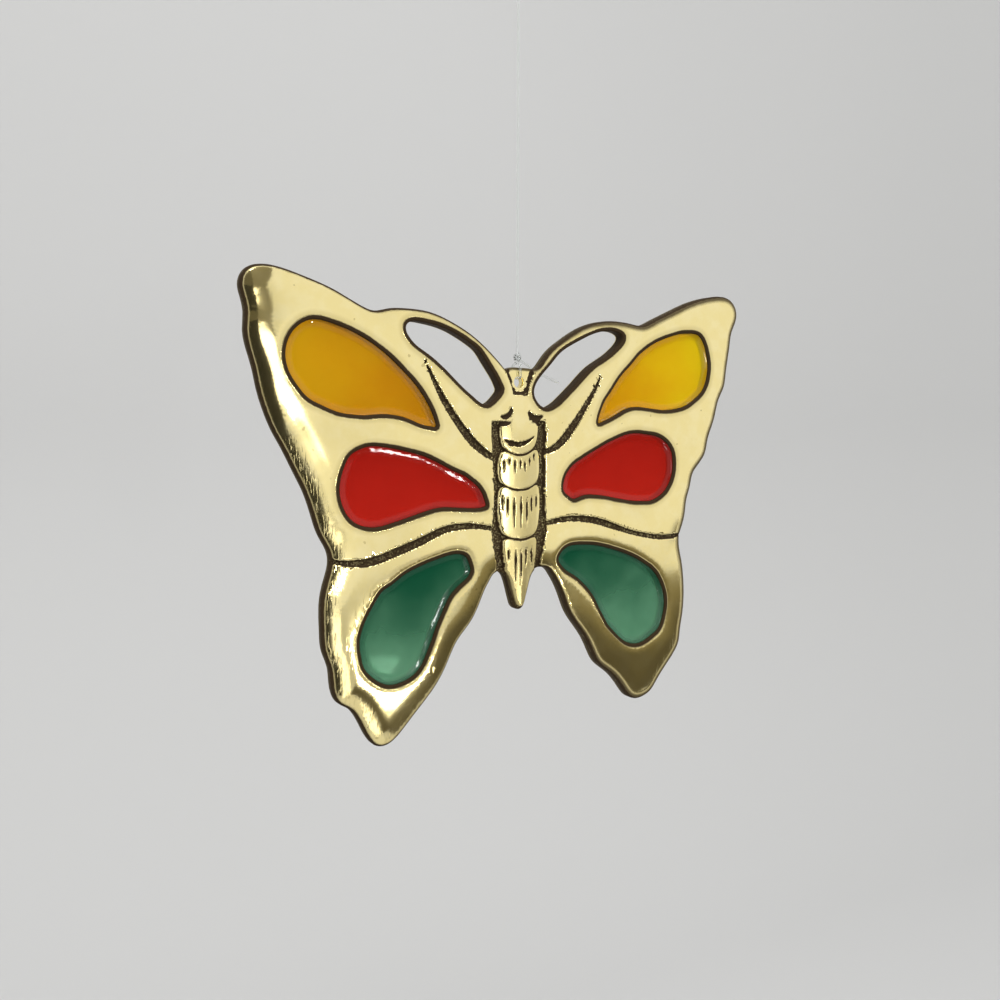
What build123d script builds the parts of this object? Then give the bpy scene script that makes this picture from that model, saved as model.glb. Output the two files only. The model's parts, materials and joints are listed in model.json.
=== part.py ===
from build123d import *
import os
from math import atan, degrees, hypot, radians, tan

# A cast brass butterfly that hangs by its tab on a clear line, with six panes of coloured resin in its wings.
# +Z is up and the front faces -Y. The origin is the top of the hanging loop, inside, where a hook carries it.

# The butterfly's size
half_span = 50.0  # middle of the body to the forewing's edge below its tip
wing_drop = 50.0  # tab hole down to the foot of the green cells
plate = 2.6  # thickness of the cast wings, with the plate's middle on y = 0

# Rounded front edges of the casting
wing_edge_round = 0.7
hole_edge_round = 0.3
back_edge_round = 0.25

# Panes
pane_recess = 0.7  # resin below the wing's front face

# The hanging tab
tab_recess = 0.6  # tab's face below the wing's front face
hole_bore = 2.2

# Relief of the casting
trough_depth = 1.0  # floor beside the body, below the wing's front face
head_rise = 0.1  # top of the head's crest above the wing's front face
body_rise = 0.5  # crest from the chin down above the wing's front face
body_crown = 13.0  # radius of the body's crown, across it
body_edge_round = 0.4
groove_depth = 0.55  # vein grooves and the step between the wings
hair_cut_depth = 0.25
hair_cut_width = 0.34
hair_widest_share = 0.3  # place where a fine cut is widest, down its length
smile_depth = 0.45  # below the middle of the head's crest
eye_depth = 0.35

# The clear hanging line
line_bore = 0.5  # diameter of the line
line_run = 67.0  # straight line between its two knots
loop_height = 15.0
loop_width = 7.0
loop_widest_share = 0.35  # place of the loop's full width, down from its top
loop_top_share = 0.98  # top bend's radius, of the loop's half width
knot_bore = 1.6  # widest diameter of a drawn knot
knot_swell = 0.1  # bulge of the knot's side
knot_height = 1.6
line_gap = 0.12  # between the line and the tab
eye_bend = 0.3  # radius of the line's bends round the tab
eye_shoulder = 0.3  # tab's top edge to the bends above it
tab_to_knot = 0.95  # tab's top edge to the lower knot

# Cut end of the line behind the right antenna, as (across, behind, up) from the middle of the lower knot
cut_end_route = [(0.0, 0.3, 0.0), (2.1, 1.9, -0.6), (7.0, 2.9, -3.2), (11.0, 3.3, -4.4)]
bend_share = 0.45  # a bend's tangent, of the shorter run beside it

# Outline points are (across, up) from the tab hole, as shares of half_span and wing_drop
left_wing_shares = [
    (-0.060, 0.047), (-0.114, 0.100), (-0.191, 0.161), (-0.273, 0.205), (-0.358, 0.235), (-0.443, 0.243),
    (-0.519, 0.238), (-0.562, 0.230), (-0.609, 0.244), (-0.707, 0.293), (-0.809, 0.330), (-0.891, 0.353),
    (-0.947, 0.358), (-0.985, 0.348), (-1.008, 0.322), (-1.015, 0.290), (-1.007, 0.253), (-0.999, 0.208),
    (-1.002, 0.152), (-0.994, 0.101), (-0.974, 0.030), (-0.961, -0.035), (-0.942, -0.099), (-0.915, -0.166),
    (-0.883, -0.225), (-0.844, -0.304), (-0.811, -0.372), (-0.784, -0.453), (-0.758, -0.525), (-0.735, -0.568),
    (-0.728, -0.596), (-0.731, -0.632), (-0.748, -0.687), (-0.760, -0.753), (-0.760, -0.839), (-0.753, -0.914),
    (-0.735, -0.965), (-0.729, -1.020), (-0.721, -1.063), (-0.701, -1.095), (-0.668, -1.116), (-0.642, -1.146),
    (-0.617, -1.194), (-0.591, -1.240), (-0.564, -1.263), (-0.538, -1.265), (-0.510, -1.253), (-0.473, -1.220),
    (-0.414, -1.157), (-0.358, -1.097), (-0.317, -1.041), (-0.285, -0.980), (-0.251, -0.919), (-0.206, -0.868),
    (-0.166, -0.802), (-0.136, -0.739), (-0.121, -0.715),
]
right_wing_shares = [
    (0.060, 0.047), (0.110, 0.092), (0.182, 0.154), (0.261, 0.201), (0.348, 0.230), (0.432, 0.236),
    (0.501, 0.229), (0.548, 0.225), (0.599, 0.244), (0.683, 0.281), (0.772, 0.319), (0.850, 0.343),
    (0.908, 0.354), (0.957, 0.356), (0.992, 0.346), (1.019, 0.321), (1.030, 0.288), (1.023, 0.252),
    (1.006, 0.215), (0.996, 0.158), (0.988, 0.108), (0.979, 0.049), (0.969, -0.008), (0.942, -0.061),
    (0.928, -0.111), (0.910, -0.166), (0.891, -0.213), (0.875, -0.277), (0.848, -0.314), (0.813, -0.358),
    (0.801, -0.407), (0.785, -0.457), (0.778, -0.509), (0.764, -0.562), (0.751, -0.598), (0.750, -0.643),
    (0.764, -0.702), (0.775, -0.772), (0.779, -0.851), (0.772, -0.930), (0.762, -0.989), (0.756, -1.034),
    (0.740, -1.067), (0.705, -1.111), (0.670, -1.151), (0.644, -1.185), (0.615, -1.220), (0.577, -1.239),
    (0.542, -1.243), (0.510, -1.231), (0.481, -1.200), (0.441, -1.149), (0.402, -1.114), (0.356, -1.077),
    (0.325, -1.025), (0.297, -0.972), (0.261, -0.923), (0.219, -0.863), (0.188, -0.790), (0.160, -0.736),
    (0.145, -0.713),
]
left_crotch_shares = [(-0.110, -0.698), (-0.087, -0.687), (-0.064, -0.697)]
right_crotch_shares = [(0.066, -0.695), (0.097, -0.683), (0.130, -0.695)]
tail_shares = [(0.053, -0.714), (0.041, -0.752), (0.031, -0.788), (0.024, -0.812), (0.0135, -0.828), (0.0, -0.8335)]
tab_top_shares = [(0.036, 0.053), (0.0, 0.055), (-0.036, 0.053)]

left_loop_shares = [
    (-0.082, -0.024), (-0.094, 0.002), (-0.116, 0.036), (-0.144, 0.074), (-0.168, 0.106), (-0.197, 0.128),
    (-0.245, 0.155), (-0.299, 0.179), (-0.356, 0.193), (-0.396, 0.199), (-0.429, 0.199), (-0.448, 0.187),
    (-0.450, 0.169), (-0.437, 0.145), (-0.414, 0.121), (-0.380, 0.099), (-0.301, 0.040), (-0.223, -0.030),
    (-0.184, -0.060), (-0.157, -0.078), (-0.138, -0.081), (-0.116, -0.070), (-0.092, -0.046),
]
right_loop_shares = [
    (0.060, -0.040), (0.063, -0.018), (0.078, 0.008), (0.103, 0.036), (0.136, 0.070), (0.168, 0.104),
    (0.205, 0.130), (0.253, 0.154), (0.305, 0.178), (0.358, 0.194), (0.402, 0.198), (0.435, 0.192),
    (0.454, 0.177), (0.445, 0.155), (0.425, 0.135), (0.400, 0.115), (0.313, 0.062), (0.237, -0.007),
    (0.199, -0.041), (0.166, -0.069), (0.140, -0.085), (0.112, -0.093), (0.088, -0.084), (0.068, -0.062),
]

# Each cell's outline starts at its blunt inner tip
amber_left_shares = [
    (-0.340, -0.152), (-0.354, -0.113), (-0.376, -0.072), (-0.402, -0.034), (-0.435, 0.004), (-0.473, 0.040),
    (-0.512, 0.075), (-0.552, 0.105), (-0.601, 0.135), (-0.652, 0.159), (-0.691, 0.173), (-0.733, 0.185),
    (-0.776, 0.191), (-0.813, 0.180), (-0.846, 0.153), (-0.867, 0.116), (-0.874, 0.075), (-0.859, 0.015),
    (-0.831, -0.028), (-0.801, -0.061), (-0.758, -0.084), (-0.719, -0.101), (-0.686, -0.111), (-0.642, -0.117),
    (-0.597, -0.119), (-0.548, -0.115), (-0.508, -0.117), (-0.463, -0.125), (-0.424, -0.139), (-0.386, -0.153),
    (-0.352, -0.159), (-0.340, -0.159),
]
amber_right_shares = [
    (0.344, -0.147), (0.348, -0.129), (0.360, -0.096), (0.378, -0.062), (0.403, -0.032), (0.431, 0.006),
    (0.463, 0.042), (0.497, 0.073), (0.528, 0.105), (0.562, 0.131), (0.597, 0.152), (0.640, 0.171),
    (0.689, 0.187), (0.732, 0.198), (0.776, 0.202), (0.809, 0.201), (0.830, 0.193), (0.848, 0.172),
    (0.862, 0.144), (0.870, 0.115), (0.876, 0.083), (0.875, 0.051), (0.869, 0.020), (0.856, -0.012),
    (0.835, -0.038), (0.807, -0.059), (0.776, -0.078), (0.738, -0.091), (0.697, -0.098), (0.654, -0.100),
    (0.609, -0.096), (0.566, -0.091), (0.524, -0.088), (0.491, -0.091), (0.457, -0.102), (0.425, -0.118),
    (0.394, -0.133), (0.362, -0.145),
]
red_left_shares = [
    (-0.142, -0.439), (-0.148, -0.421), (-0.160, -0.393), (-0.178, -0.371), (-0.205, -0.349), (-0.233, -0.331),
    (-0.267, -0.317), (-0.303, -0.299), (-0.348, -0.277), (-0.392, -0.259), (-0.445, -0.245), (-0.495, -0.234),
    (-0.546, -0.226), (-0.587, -0.224), (-0.627, -0.235), (-0.656, -0.252), (-0.677, -0.287), (-0.691, -0.329),
    (-0.695, -0.376), (-0.686, -0.418), (-0.668, -0.454), (-0.642, -0.479), (-0.609, -0.493), (-0.575, -0.498),
    (-0.530, -0.492), (-0.485, -0.481), (-0.441, -0.469), (-0.396, -0.456), (-0.360, -0.447), (-0.327, -0.442),
    (-0.291, -0.442), (-0.251, -0.446), (-0.207, -0.449), (-0.162, -0.449),
]
red_right_shares = [
    (0.190, -0.397), (0.191, -0.371), (0.198, -0.349), (0.213, -0.325), (0.235, -0.304), (0.267, -0.286),
    (0.303, -0.267), (0.340, -0.249), (0.384, -0.228), (0.427, -0.211), (0.471, -0.197), (0.506, -0.191),
    (0.540, -0.191), (0.583, -0.196), (0.625, -0.204), (0.656, -0.218), (0.681, -0.238), (0.699, -0.267),
    (0.705, -0.301), (0.705, -0.337), (0.698, -0.368), (0.682, -0.400), (0.659, -0.426), (0.630, -0.444),
    (0.597, -0.455), (0.556, -0.455), (0.512, -0.452), (0.469, -0.445), (0.425, -0.437), (0.382, -0.428),
    (0.340, -0.422), (0.301, -0.420), (0.263, -0.426), (0.233, -0.433), (0.215, -0.423), (0.200, -0.411),
]
green_left_shares = [
    (-0.205, -0.664), (-0.213, -0.640), (-0.225, -0.620), (-0.245, -0.612), (-0.287, -0.612), (-0.330, -0.622),
    (-0.374, -0.634), (-0.410, -0.646), (-0.445, -0.660), (-0.479, -0.679), (-0.512, -0.701), (-0.544, -0.719),
    (-0.567, -0.748), (-0.593, -0.788), (-0.611, -0.823), (-0.625, -0.861), (-0.630, -0.898), (-0.626, -0.934),
    (-0.614, -0.978), (-0.589, -1.010), (-0.557, -1.035), (-0.525, -1.048), (-0.487, -1.047), (-0.451, -1.036),
    (-0.419, -1.015), (-0.395, -0.984), (-0.376, -0.945), (-0.359, -0.907), (-0.345, -0.869), (-0.328, -0.832),
    (-0.309, -0.795), (-0.290, -0.761), (-0.266, -0.735), (-0.237, -0.712), (-0.216, -0.696),
]
green_right_shares = [
    (0.171, -0.650), (0.180, -0.636), (0.199, -0.619), (0.223, -0.611), (0.261, -0.609), (0.309, -0.612),
    (0.352, -0.619), (0.396, -0.630), (0.439, -0.643), (0.483, -0.659), (0.524, -0.676), (0.562, -0.698),
    (0.599, -0.721), (0.628, -0.749), (0.650, -0.783), (0.665, -0.818), (0.673, -0.858), (0.670, -0.898),
    (0.660, -0.937), (0.644, -0.969), (0.613, -0.991), (0.581, -1.008), (0.548, -1.018), (0.510, -1.015),
    (0.478, -1.001), (0.452, -0.981), (0.425, -0.955), (0.398, -0.927), (0.379, -0.895), (0.360, -0.864),
    (0.344, -0.834), (0.325, -0.804), (0.301, -0.775), (0.273, -0.749), (0.241, -0.724), (0.207, -0.704),
    (0.184, -0.682),
]
tab_recess_shares = [
    (-0.029, -0.046), (-0.038, -0.012), (-0.050, 0.016), (-0.062, 0.046), (-0.062, 0.090), (0.062, 0.090),
    (0.062, 0.046), (0.050, 0.014), (0.038, -0.014), (0.030, -0.046),
]

# Vein grooves, as (across, up, width) along their middle
left_vein_shares = [
    (-0.384, 0.070, 0.003), (-0.358, 0.020, 0.010), (-0.313, -0.062, 0.020), (-0.257, -0.143, 0.025),
    (-0.197, -0.213, 0.027), (-0.138, -0.258, 0.022), (-0.112, -0.272, 0.018),
]
right_vein_shares = [
    (0.352, 0.026, 0.003), (0.315, -0.040, 0.014), (0.259, -0.120, 0.022), (0.203, -0.191, 0.028),
    (0.146, -0.240, 0.022), (0.104, -0.254, 0.014),
]
left_step_shares = [
    (-0.108, -0.527, 0.012), (-0.162, -0.518, 0.014), (-0.207, -0.512, 0.016), (-0.257, -0.513, 0.020),
    (-0.307, -0.520, 0.022), (-0.352, -0.536, 0.024), (-0.400, -0.556, 0.026), (-0.451, -0.574, 0.027),
    (-0.501, -0.590, 0.027), (-0.546, -0.605, 0.026), (-0.591, -0.615, 0.026), (-0.636, -0.617, 0.022),
    (-0.680, -0.614, 0.016), (-0.732, -0.602, 0.012),
]
right_step_shares = [
    (0.100, -0.521, 0.010), (0.148, -0.513, 0.016), (0.203, -0.507, 0.018), (0.263, -0.509, 0.020),
    (0.307, -0.515, 0.022), (0.350, -0.524, 0.023), (0.404, -0.542, 0.022), (0.453, -0.558, 0.017),
    (0.506, -0.575, 0.015), (0.562, -0.588, 0.015), (0.615, -0.598, 0.016), (0.676, -0.602, 0.016),
    (0.750, -0.596, 0.010),
]

# The trough beside the body, and the parts of the body that stand in it
trough_shares = [
    (-0.118, -0.142), (-0.118, -0.200), (-0.115, -0.262), (-0.110, -0.330), (-0.107, -0.400), (-0.112, -0.480),
    (-0.119, -0.540), (-0.110, -0.600), (-0.099, -0.650), (-0.096, -0.692), (-0.096, -0.860), (0.090, -0.860),
    (0.090, -0.692), (0.092, -0.650), (0.104, -0.600), (0.112, -0.540), (0.108, -0.480), (0.105, -0.400),
    (0.107, -0.330), (0.105, -0.262), (0.109, -0.200), (0.106, -0.142),
]
# Seams between the head, the two segments and the tail
chin_seam_shares = [(-0.036, -0.259), (-0.004, -0.264), (0.028, -0.257)]
first_seam_shares = [(-0.036, -0.387), (-0.004, -0.391), (0.030, -0.386)]
second_seam_shares = [(-0.032, -0.569), (-0.002, -0.573), (0.028, -0.569)]
seam_lap_share = 0.0014  # how far a part of the body runs up into the one above it


def lapped(seam_shares):
    """The top edge of the part below a seam, from right to left."""
    return [(x, z + seam_lap_share) for x, z in reversed(seam_shares)]


head_shares = [
    (-0.086, -0.132), (-0.085, -0.170), (-0.081, -0.210), (-0.072, -0.237), (-0.058, -0.2495),
    *chin_seam_shares,
    (0.049, -0.2445), (0.065, -0.227), (0.077, -0.200), (0.083, -0.165), (0.084, -0.132),
]
first_segment_shares = [
    (-0.093, -0.306), (-0.091, -0.340), (-0.080, -0.364), (-0.060, -0.3785),
    *first_seam_shares,
    (0.055, -0.3755), (0.073, -0.361), (0.083, -0.336), (0.085, -0.304), (0.082, -0.268), (0.076, -0.250),
    (0.063, -0.243),
    *lapped(chin_seam_shares),
    (-0.067, -0.2475), (-0.081, -0.257), (-0.089, -0.278),
]
second_segment_shares = [
    (-0.094, -0.436), (-0.094, -0.470), (-0.089, -0.510), (-0.076, -0.545), (-0.056, -0.562),
    *second_seam_shares,
    (0.053, -0.560), (0.071, -0.544), (0.083, -0.508), (0.089, -0.460), (0.089, -0.420), (0.084, -0.391),
    (0.077, -0.376), (0.064, -0.371),
    *lapped(first_seam_shares),
    (-0.069, -0.374), (-0.083, -0.382), (-0.091, -0.404),
]
tail_relief_shares = [
    (-0.074, -0.600), (-0.070, -0.640), (-0.062, -0.684), (-0.048, -0.724), (-0.034, -0.768), (-0.023, -0.797),
    (-0.012, -0.815), (0.0, -0.820), (0.012, -0.815), (0.023, -0.797), (0.034, -0.768), (0.048, -0.724),
    (0.062, -0.684), (0.068, -0.640), (0.072, -0.600), (0.070, -0.573), (0.058, -0.5635),
    *lapped(second_seam_shares),
    (-0.060, -0.5635), (-0.072, -0.574),
]
smile_shares = [
    (-0.078, -0.200, 0.002), (-0.046, -0.218, 0.011), (-0.014, -0.225, 0.014), (0.022, -0.217, 0.010),
    (0.060, -0.195, 0.002),
]

# Fine cuts across the body, as (across, top, foot)
hair_shares = [
    (-0.070, -0.276, -0.326), (-0.050, -0.272, -0.302), (-0.028, -0.276, -0.336), (-0.006, -0.278, -0.320),
    (0.013, -0.284, -0.330), (0.034, -0.272, -0.308), (0.054, -0.256, -0.290),
    (-0.075, -0.404, -0.468), (-0.056, -0.412, -0.490), (-0.031, -0.412, -0.538), (-0.003, -0.408, -0.542),
    (0.022, -0.418, -0.526), (0.043, -0.412, -0.488), (0.066, -0.410, -0.470),
    (-0.052, -0.602, -0.652), (-0.024, -0.602, -0.734), (-0.002, -0.606, -0.744), (0.018, -0.598, -0.682),
    (0.044, -0.600, -0.678),
]
left_eye_shares = [
    (-0.088, -0.121), (-0.072, -0.121), (-0.054, -0.113), (-0.037, -0.090), (-0.034, -0.106), (-0.042, -0.124),
    (-0.060, -0.134), (-0.076, -0.132),
]
right_eye_shares = [
    (0.096, -0.121), (0.080, -0.122), (0.062, -0.121), (0.048, -0.116), (0.034, -0.104), (0.035, -0.124),
    (0.044, -0.136), (0.062, -0.1445), (0.080, -0.138),
]

# Places that follow from the sizes
front = -plate / 2
back = plate / 2
cut_over = plate  # how far a cut runs past what it cuts
tab_face = front + tab_recess
smile_floor = front - (head_rise + body_rise) / 2 + smile_depth
upper_knot_z = -loop_height - knot_height
lower_knot_z = upper_knot_z - line_run - knot_height
hole_z = lower_knot_z - tab_to_knot - tab_top_shares[1][1] * wing_drop
tab_top_z = lower_knot_z - tab_to_knot
line_reach = line_bore / 2
knot_end_reach = knot_bore / 2 - knot_swell
strand_side = knot_end_reach - line_reach  # middle of the knot to each strand that enters it
hinge_z = hole_z + hole_bore / 2 - line_gap - line_reach
eye_front = tab_face - line_gap - line_reach
eye_back = back + line_gap + line_reach


def places(shares):
    """Points in the sketch plane, from shares of the half span and the wing drop."""
    return [(x * half_span, hole_z + z * wing_drop) for x, z in shares]


def face_at(y):
    """The sketch plane at a depth, seen from the front."""
    return Plane.XZ.offset(-y)


def curved_outline(shares, y):
    """A face inside one curve through all the points."""
    with BuildSketch(face_at(y)) as outline:
        with BuildLine():
            Spline(*places(shares), periodic=True)
        make_face()
    return outline.sketch


def straight_outline(shares, y):
    """A face inside straight sides."""
    with BuildSketch(face_at(y)) as outline:
        with BuildLine():
            Polyline(*places(shares), close=True)
        make_face()
    return outline.sketch


def groove_outline(shares, y):
    """A face along a curved middle line, as wide at each point as its share of the half span says."""
    middle = places([(x, z) for x, z, width in shares])
    reach = [width * half_span / 2 for x, z, width in shares]
    one_side, other_side = [], []
    for i, (x, z) in enumerate(middle):
        before, after = middle[max(i - 1, 0)], middle[min(i + 1, len(middle) - 1)]
        run, rise = after[0] - before[0], after[1] - before[1]
        length = hypot(run, rise)
        one_side.append((x - rise / length * reach[i], z + run / length * reach[i]))
        other_side.append((x + rise / length * reach[i], z - run / length * reach[i]))
    with BuildSketch(face_at(y)) as outline:
        with BuildLine():
            Spline(*one_side)
            Line(one_side[-1], other_side[-1])
            Spline(*reversed(other_side))
            Line(other_side[0], one_side[0])
        make_face()
    return outline.sketch


def other_side(shares):
    """The same points on the other side of the body."""
    return [(-x, z) for x, z in shares]


def crown_at(x, rise):
    """The depth of the body's crown beside its middle."""
    return front - rise + body_crown - (body_crown**2 - x**2) ** 0.5


def body_relief(shares, top_rise, foot_rise):
    """One part of the body, standing on the trough's floor under a crown that may slope, with a rounded edge."""
    heights = [z * wing_drop for x, z in shares]
    slope = degrees(atan((foot_rise - top_rise) / (max(heights) - min(heights))))
    crest = front - (top_rise + foot_rise) / 2
    middle = hole_z + (max(heights) + min(heights)) / 2
    with BuildPart() as relief:
        extrude(curved_outline(shares, front + trough_depth), amount=cut_over)
        with Locations(Location((0, crest + body_crown, middle), (-slope, 0, 0))):
            Cylinder(body_crown, 2 * wing_drop, mode=Mode.INTERSECT)
        crest = relief.faces().sort_by(Axis.Y)[0]
        fillet(crest.edges(), body_edge_round)
    return relief.part


def hair_cutter(x_share, top_share, foot_share):
    """A fine cut down the body, pointed at both ends, as deep below the crown everywhere."""
    (x, top), (_, foot) = places([(x_share, top_share), (x_share, foot_share)])
    widest = top + (foot - top) * hair_widest_share
    side = hair_cut_width / 2
    with BuildPart() as cutter:
        with BuildSketch(face_at(crown_at(x, body_rise) + hair_cut_depth)):
            with BuildLine():
                Polyline((x, top), (x + side, widest), (x, foot), (x - side, widest), close=True)
            make_face()
        extrude(amount=body_rise + cut_over)
    return cutter.part


def drawn_knot(foot):
    """A drawn knot as a barrel with flat ends, standing on its lower one."""
    middle = foot + knot_height / 2
    with BuildPart() as knot:
        with BuildSketch(Plane.XZ):
            with BuildLine():
                Line((0, foot), (knot_end_reach, foot))
                ThreePointArc((knot_end_reach, foot), (knot_bore / 2, middle), (knot_end_reach, foot + knot_height))
                Polyline((knot_end_reach, foot + knot_height), (0, foot + knot_height), (0, foot))
            make_face()
        revolve(axis=Axis.Z)
    return knot.part


def line_along(path):
    """The round line along a path."""
    with BuildPart() as strand:
        with BuildLine():
            add(path)
        with BuildSketch(Plane(origin=path @ 0, z_dir=path % 0)):
            Circle(line_reach)
        sweep()
    return strand.part


def bend_radii(points):
    """Each inner point's bend, as large as the runs beside it allow."""
    radii = []
    for before, here, after in zip(points, points[1:], points[2:]):
        arriving, leaving = Vector(*here) - Vector(*before), Vector(*after) - Vector(*here)
        half_turn = radians(arriving.get_angle(leaving)) / 2
        radii.append(bend_share * min(arriving.length, leaving.length) / tan(half_turn))
    return radii


butterfly_shares = [
    *left_wing_shares,
    *left_crotch_shares,
    *other_side(tail_shares[:-1]),
    *reversed(tail_shares),
    *right_crotch_shares,
    *reversed(right_wing_shares),
    *tab_top_shares,
]
cells = {
    "amber_pane_left": amber_left_shares,
    "amber_pane_right": amber_right_shares,
    "red_pane_left": red_left_shares,
    "red_pane_right": red_right_shares,
    "green_pane_left": green_left_shares,
    "green_pane_right": green_right_shares,
}
raised_parts = [
    (head_shares, head_rise, body_rise),
    (first_segment_shares, body_rise, body_rise),
    (second_segment_shares, body_rise, body_rise),
    (tail_relief_shares, body_rise, body_rise),
]
reliefs = [body_relief(*part) for part in raised_parts]
hairs = [hair_cutter(*shares) for shares in hair_shares]

os.makedirs("parts", exist_ok=True)

# The casting: the plate with its rounded edges, the loops and cells through it, then the body and the cuts
with BuildPart() as casting:
    extrude(curved_outline(butterfly_shares, back), amount=plate)
    fillet(casting.faces().sort_by(Axis.Y)[0].edges(), wing_edge_round)
    fillet(casting.faces().sort_by(Axis.Y)[-1].edges(), back_edge_round)
    for hole_shares in (left_loop_shares, right_loop_shares, *cells.values()):
        extrude(curved_outline(hole_shares, back), amount=plate, mode=Mode.SUBTRACT)
    front_holes = casting.faces().sort_by(Axis.Y)[0].inner_wires()
    fillet([edge for wire in front_holes for edge in wire.edges()], hole_edge_round)
    extrude(straight_outline(tab_recess_shares, tab_face), amount=cut_over, mode=Mode.SUBTRACT)
    with Locations(Plane(origin=(0, back, hole_z), z_dir=(0, -1, 0))):
        Cylinder(hole_bore / 2, 2 * plate, mode=Mode.SUBTRACT)
    extrude(straight_outline(trough_shares, front + trough_depth), amount=cut_over, mode=Mode.SUBTRACT)
    add(reliefs)
    for groove_shares in (left_vein_shares, right_vein_shares, left_step_shares, right_step_shares):
        extrude(groove_outline(groove_shares, front + groove_depth), amount=cut_over, mode=Mode.SUBTRACT)
    extrude(groove_outline(smile_shares, smile_floor), amount=cut_over, mode=Mode.SUBTRACT)
    for eye_shares in (left_eye_shares, right_eye_shares):
        extrude(straight_outline(eye_shares, front + eye_depth), amount=cut_over, mode=Mode.SUBTRACT)
    add(hairs, mode=Mode.SUBTRACT)
casting.part.label = "brass_casting"
export_step(casting.part, "parts/brass_casting.step")

# The panes, poured level with the back and lower than the front
for name, cell_shares in cells.items():
    with BuildPart() as pane:
        extrude(curved_outline(cell_shares, back), amount=plate - pane_recess)
    pane.part.label = name
    export_step(pane.part, f"parts/{name}.step")

# The line's eye through the tab, tied by the lower knot
with BuildLine() as eye_path:
    FilletPolyline(
        (0, -strand_side, lower_knot_z),
        (0, -strand_side, lower_knot_z - line_reach),
        (0, eye_front, tab_top_z + eye_shoulder),
        (0, eye_front, hinge_z),
        (0, eye_back, hinge_z),
        (0, eye_back, tab_top_z + eye_shoulder),
        (0, strand_side, lower_knot_z - line_reach),
        (0, strand_side, lower_knot_z),
        radius=eye_bend,
    )
with BuildPart() as line_eye:
    add(line_along(eye_path.wire()))
line_eye.part.label = "line_eye"
export_step(line_eye.part, "parts/line_eye.step")

# The lower knot with its cut end
cut_end_points = [(x, y, lower_knot_z + knot_height / 2 + z) for x, y, z in cut_end_route]
cut_end_radii = bend_radii(cut_end_points)
print("cut end's radii", [round(radius, 1) for radius in cut_end_radii])
with BuildLine() as cut_end_path:
    FilletPolyline(*cut_end_points, radius=cut_end_radii)
with BuildPart() as lower_knot:
    add(drawn_knot(lower_knot_z))
    add(line_along(cut_end_path.wire()))
lower_knot.part.label = "lower_knot"
export_step(lower_knot.part, "parts/lower_knot.step")

# The straight line between the knots
with BuildPart() as hanging_line:
    with BuildSketch(Plane.XY.offset(lower_knot_z + knot_height)):
        Circle(line_reach)
    extrude(amount=line_run)
hanging_line.part.label = "hanging_line"
export_step(hanging_line.part, "parts/hanging_line.step")

# The upper knot and the hanging loop
with BuildPart() as upper_knot:
    add(drawn_knot(upper_knot_z))
upper_knot.part.label = "upper_knot"
export_step(upper_knot.part, "parts/upper_knot.step")

loop_reach = loop_width / 2 - line_reach
loop_side = [
    (strand_side, 0, -loop_height),
    (strand_side, 0, line_reach - loop_height),
    (loop_reach, 0, -loop_height * loop_widest_share),
    (loop_reach, 0, line_reach),
]
loop_bends = [line_bore, loop_width, loop_top_share * loop_reach]
with BuildLine() as loop_path:
    FilletPolyline(
        *loop_side,
        *[(-x, y, z) for x, y, z in reversed(loop_side)],
        radius=[*loop_bends, *reversed(loop_bends)],
    )
with BuildPart() as hanging_loop:
    add(line_along(loop_path.wire()))
hanging_loop.part.label = "hanging_loop"
export_step(hanging_loop.part, "parts/hanging_loop.step")
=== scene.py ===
"""The looks of a cast brass butterfly with resin panes, hanging on a clear nylon line.

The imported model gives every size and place. The casting and its panes are modelled again over
their solids with softened relief. The straight run, the knots and the cut end are made of round
line, and the loop and the eye keep their solids. Meshes are worked in millimetres and written in
metres.
"""

from __future__ import annotations

import json
import logging
import math
from collections.abc import Iterable, Sequence
from dataclasses import dataclass, field
from enum import Enum
from typing import Any

import bmesh
import bpy
from mathutils import Matrix, Vector, noise
from mathutils.bvhtree import BVHTree
from mathutils.kdtree import KDTree

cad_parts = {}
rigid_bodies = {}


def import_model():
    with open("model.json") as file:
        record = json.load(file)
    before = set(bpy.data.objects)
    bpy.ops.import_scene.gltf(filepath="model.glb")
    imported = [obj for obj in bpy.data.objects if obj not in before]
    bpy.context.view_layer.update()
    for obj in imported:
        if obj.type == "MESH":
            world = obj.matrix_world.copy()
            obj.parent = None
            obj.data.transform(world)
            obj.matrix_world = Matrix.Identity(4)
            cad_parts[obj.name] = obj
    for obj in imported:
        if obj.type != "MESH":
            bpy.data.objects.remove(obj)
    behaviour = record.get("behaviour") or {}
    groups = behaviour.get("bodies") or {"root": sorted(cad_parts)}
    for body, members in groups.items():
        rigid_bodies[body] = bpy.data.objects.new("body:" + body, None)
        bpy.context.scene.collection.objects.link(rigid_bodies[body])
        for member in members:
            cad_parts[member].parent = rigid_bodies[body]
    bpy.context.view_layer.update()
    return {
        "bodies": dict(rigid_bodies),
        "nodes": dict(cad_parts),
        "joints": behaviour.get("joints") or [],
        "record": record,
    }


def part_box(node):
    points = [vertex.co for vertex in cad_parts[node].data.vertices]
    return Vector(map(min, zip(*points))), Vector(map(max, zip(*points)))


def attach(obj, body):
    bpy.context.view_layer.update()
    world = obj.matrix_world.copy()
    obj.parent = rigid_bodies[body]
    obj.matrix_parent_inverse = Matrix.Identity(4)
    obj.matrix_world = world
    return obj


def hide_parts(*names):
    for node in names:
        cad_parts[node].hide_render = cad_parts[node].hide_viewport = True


LOG = logging.getLogger("butterfly")
MM = 0.001
Point = tuple[float, float]
Place = tuple[float, float, float]
Colour = tuple[float, float, float]

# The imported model, once main has loaded it.
FRAME: dict[str, Any] = {}


class Body(Enum):
    """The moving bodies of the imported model."""

    LINE = "hanging_line"
    EYE = "tied_eye"
    BUTTERFLY = "butterfly"


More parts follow.
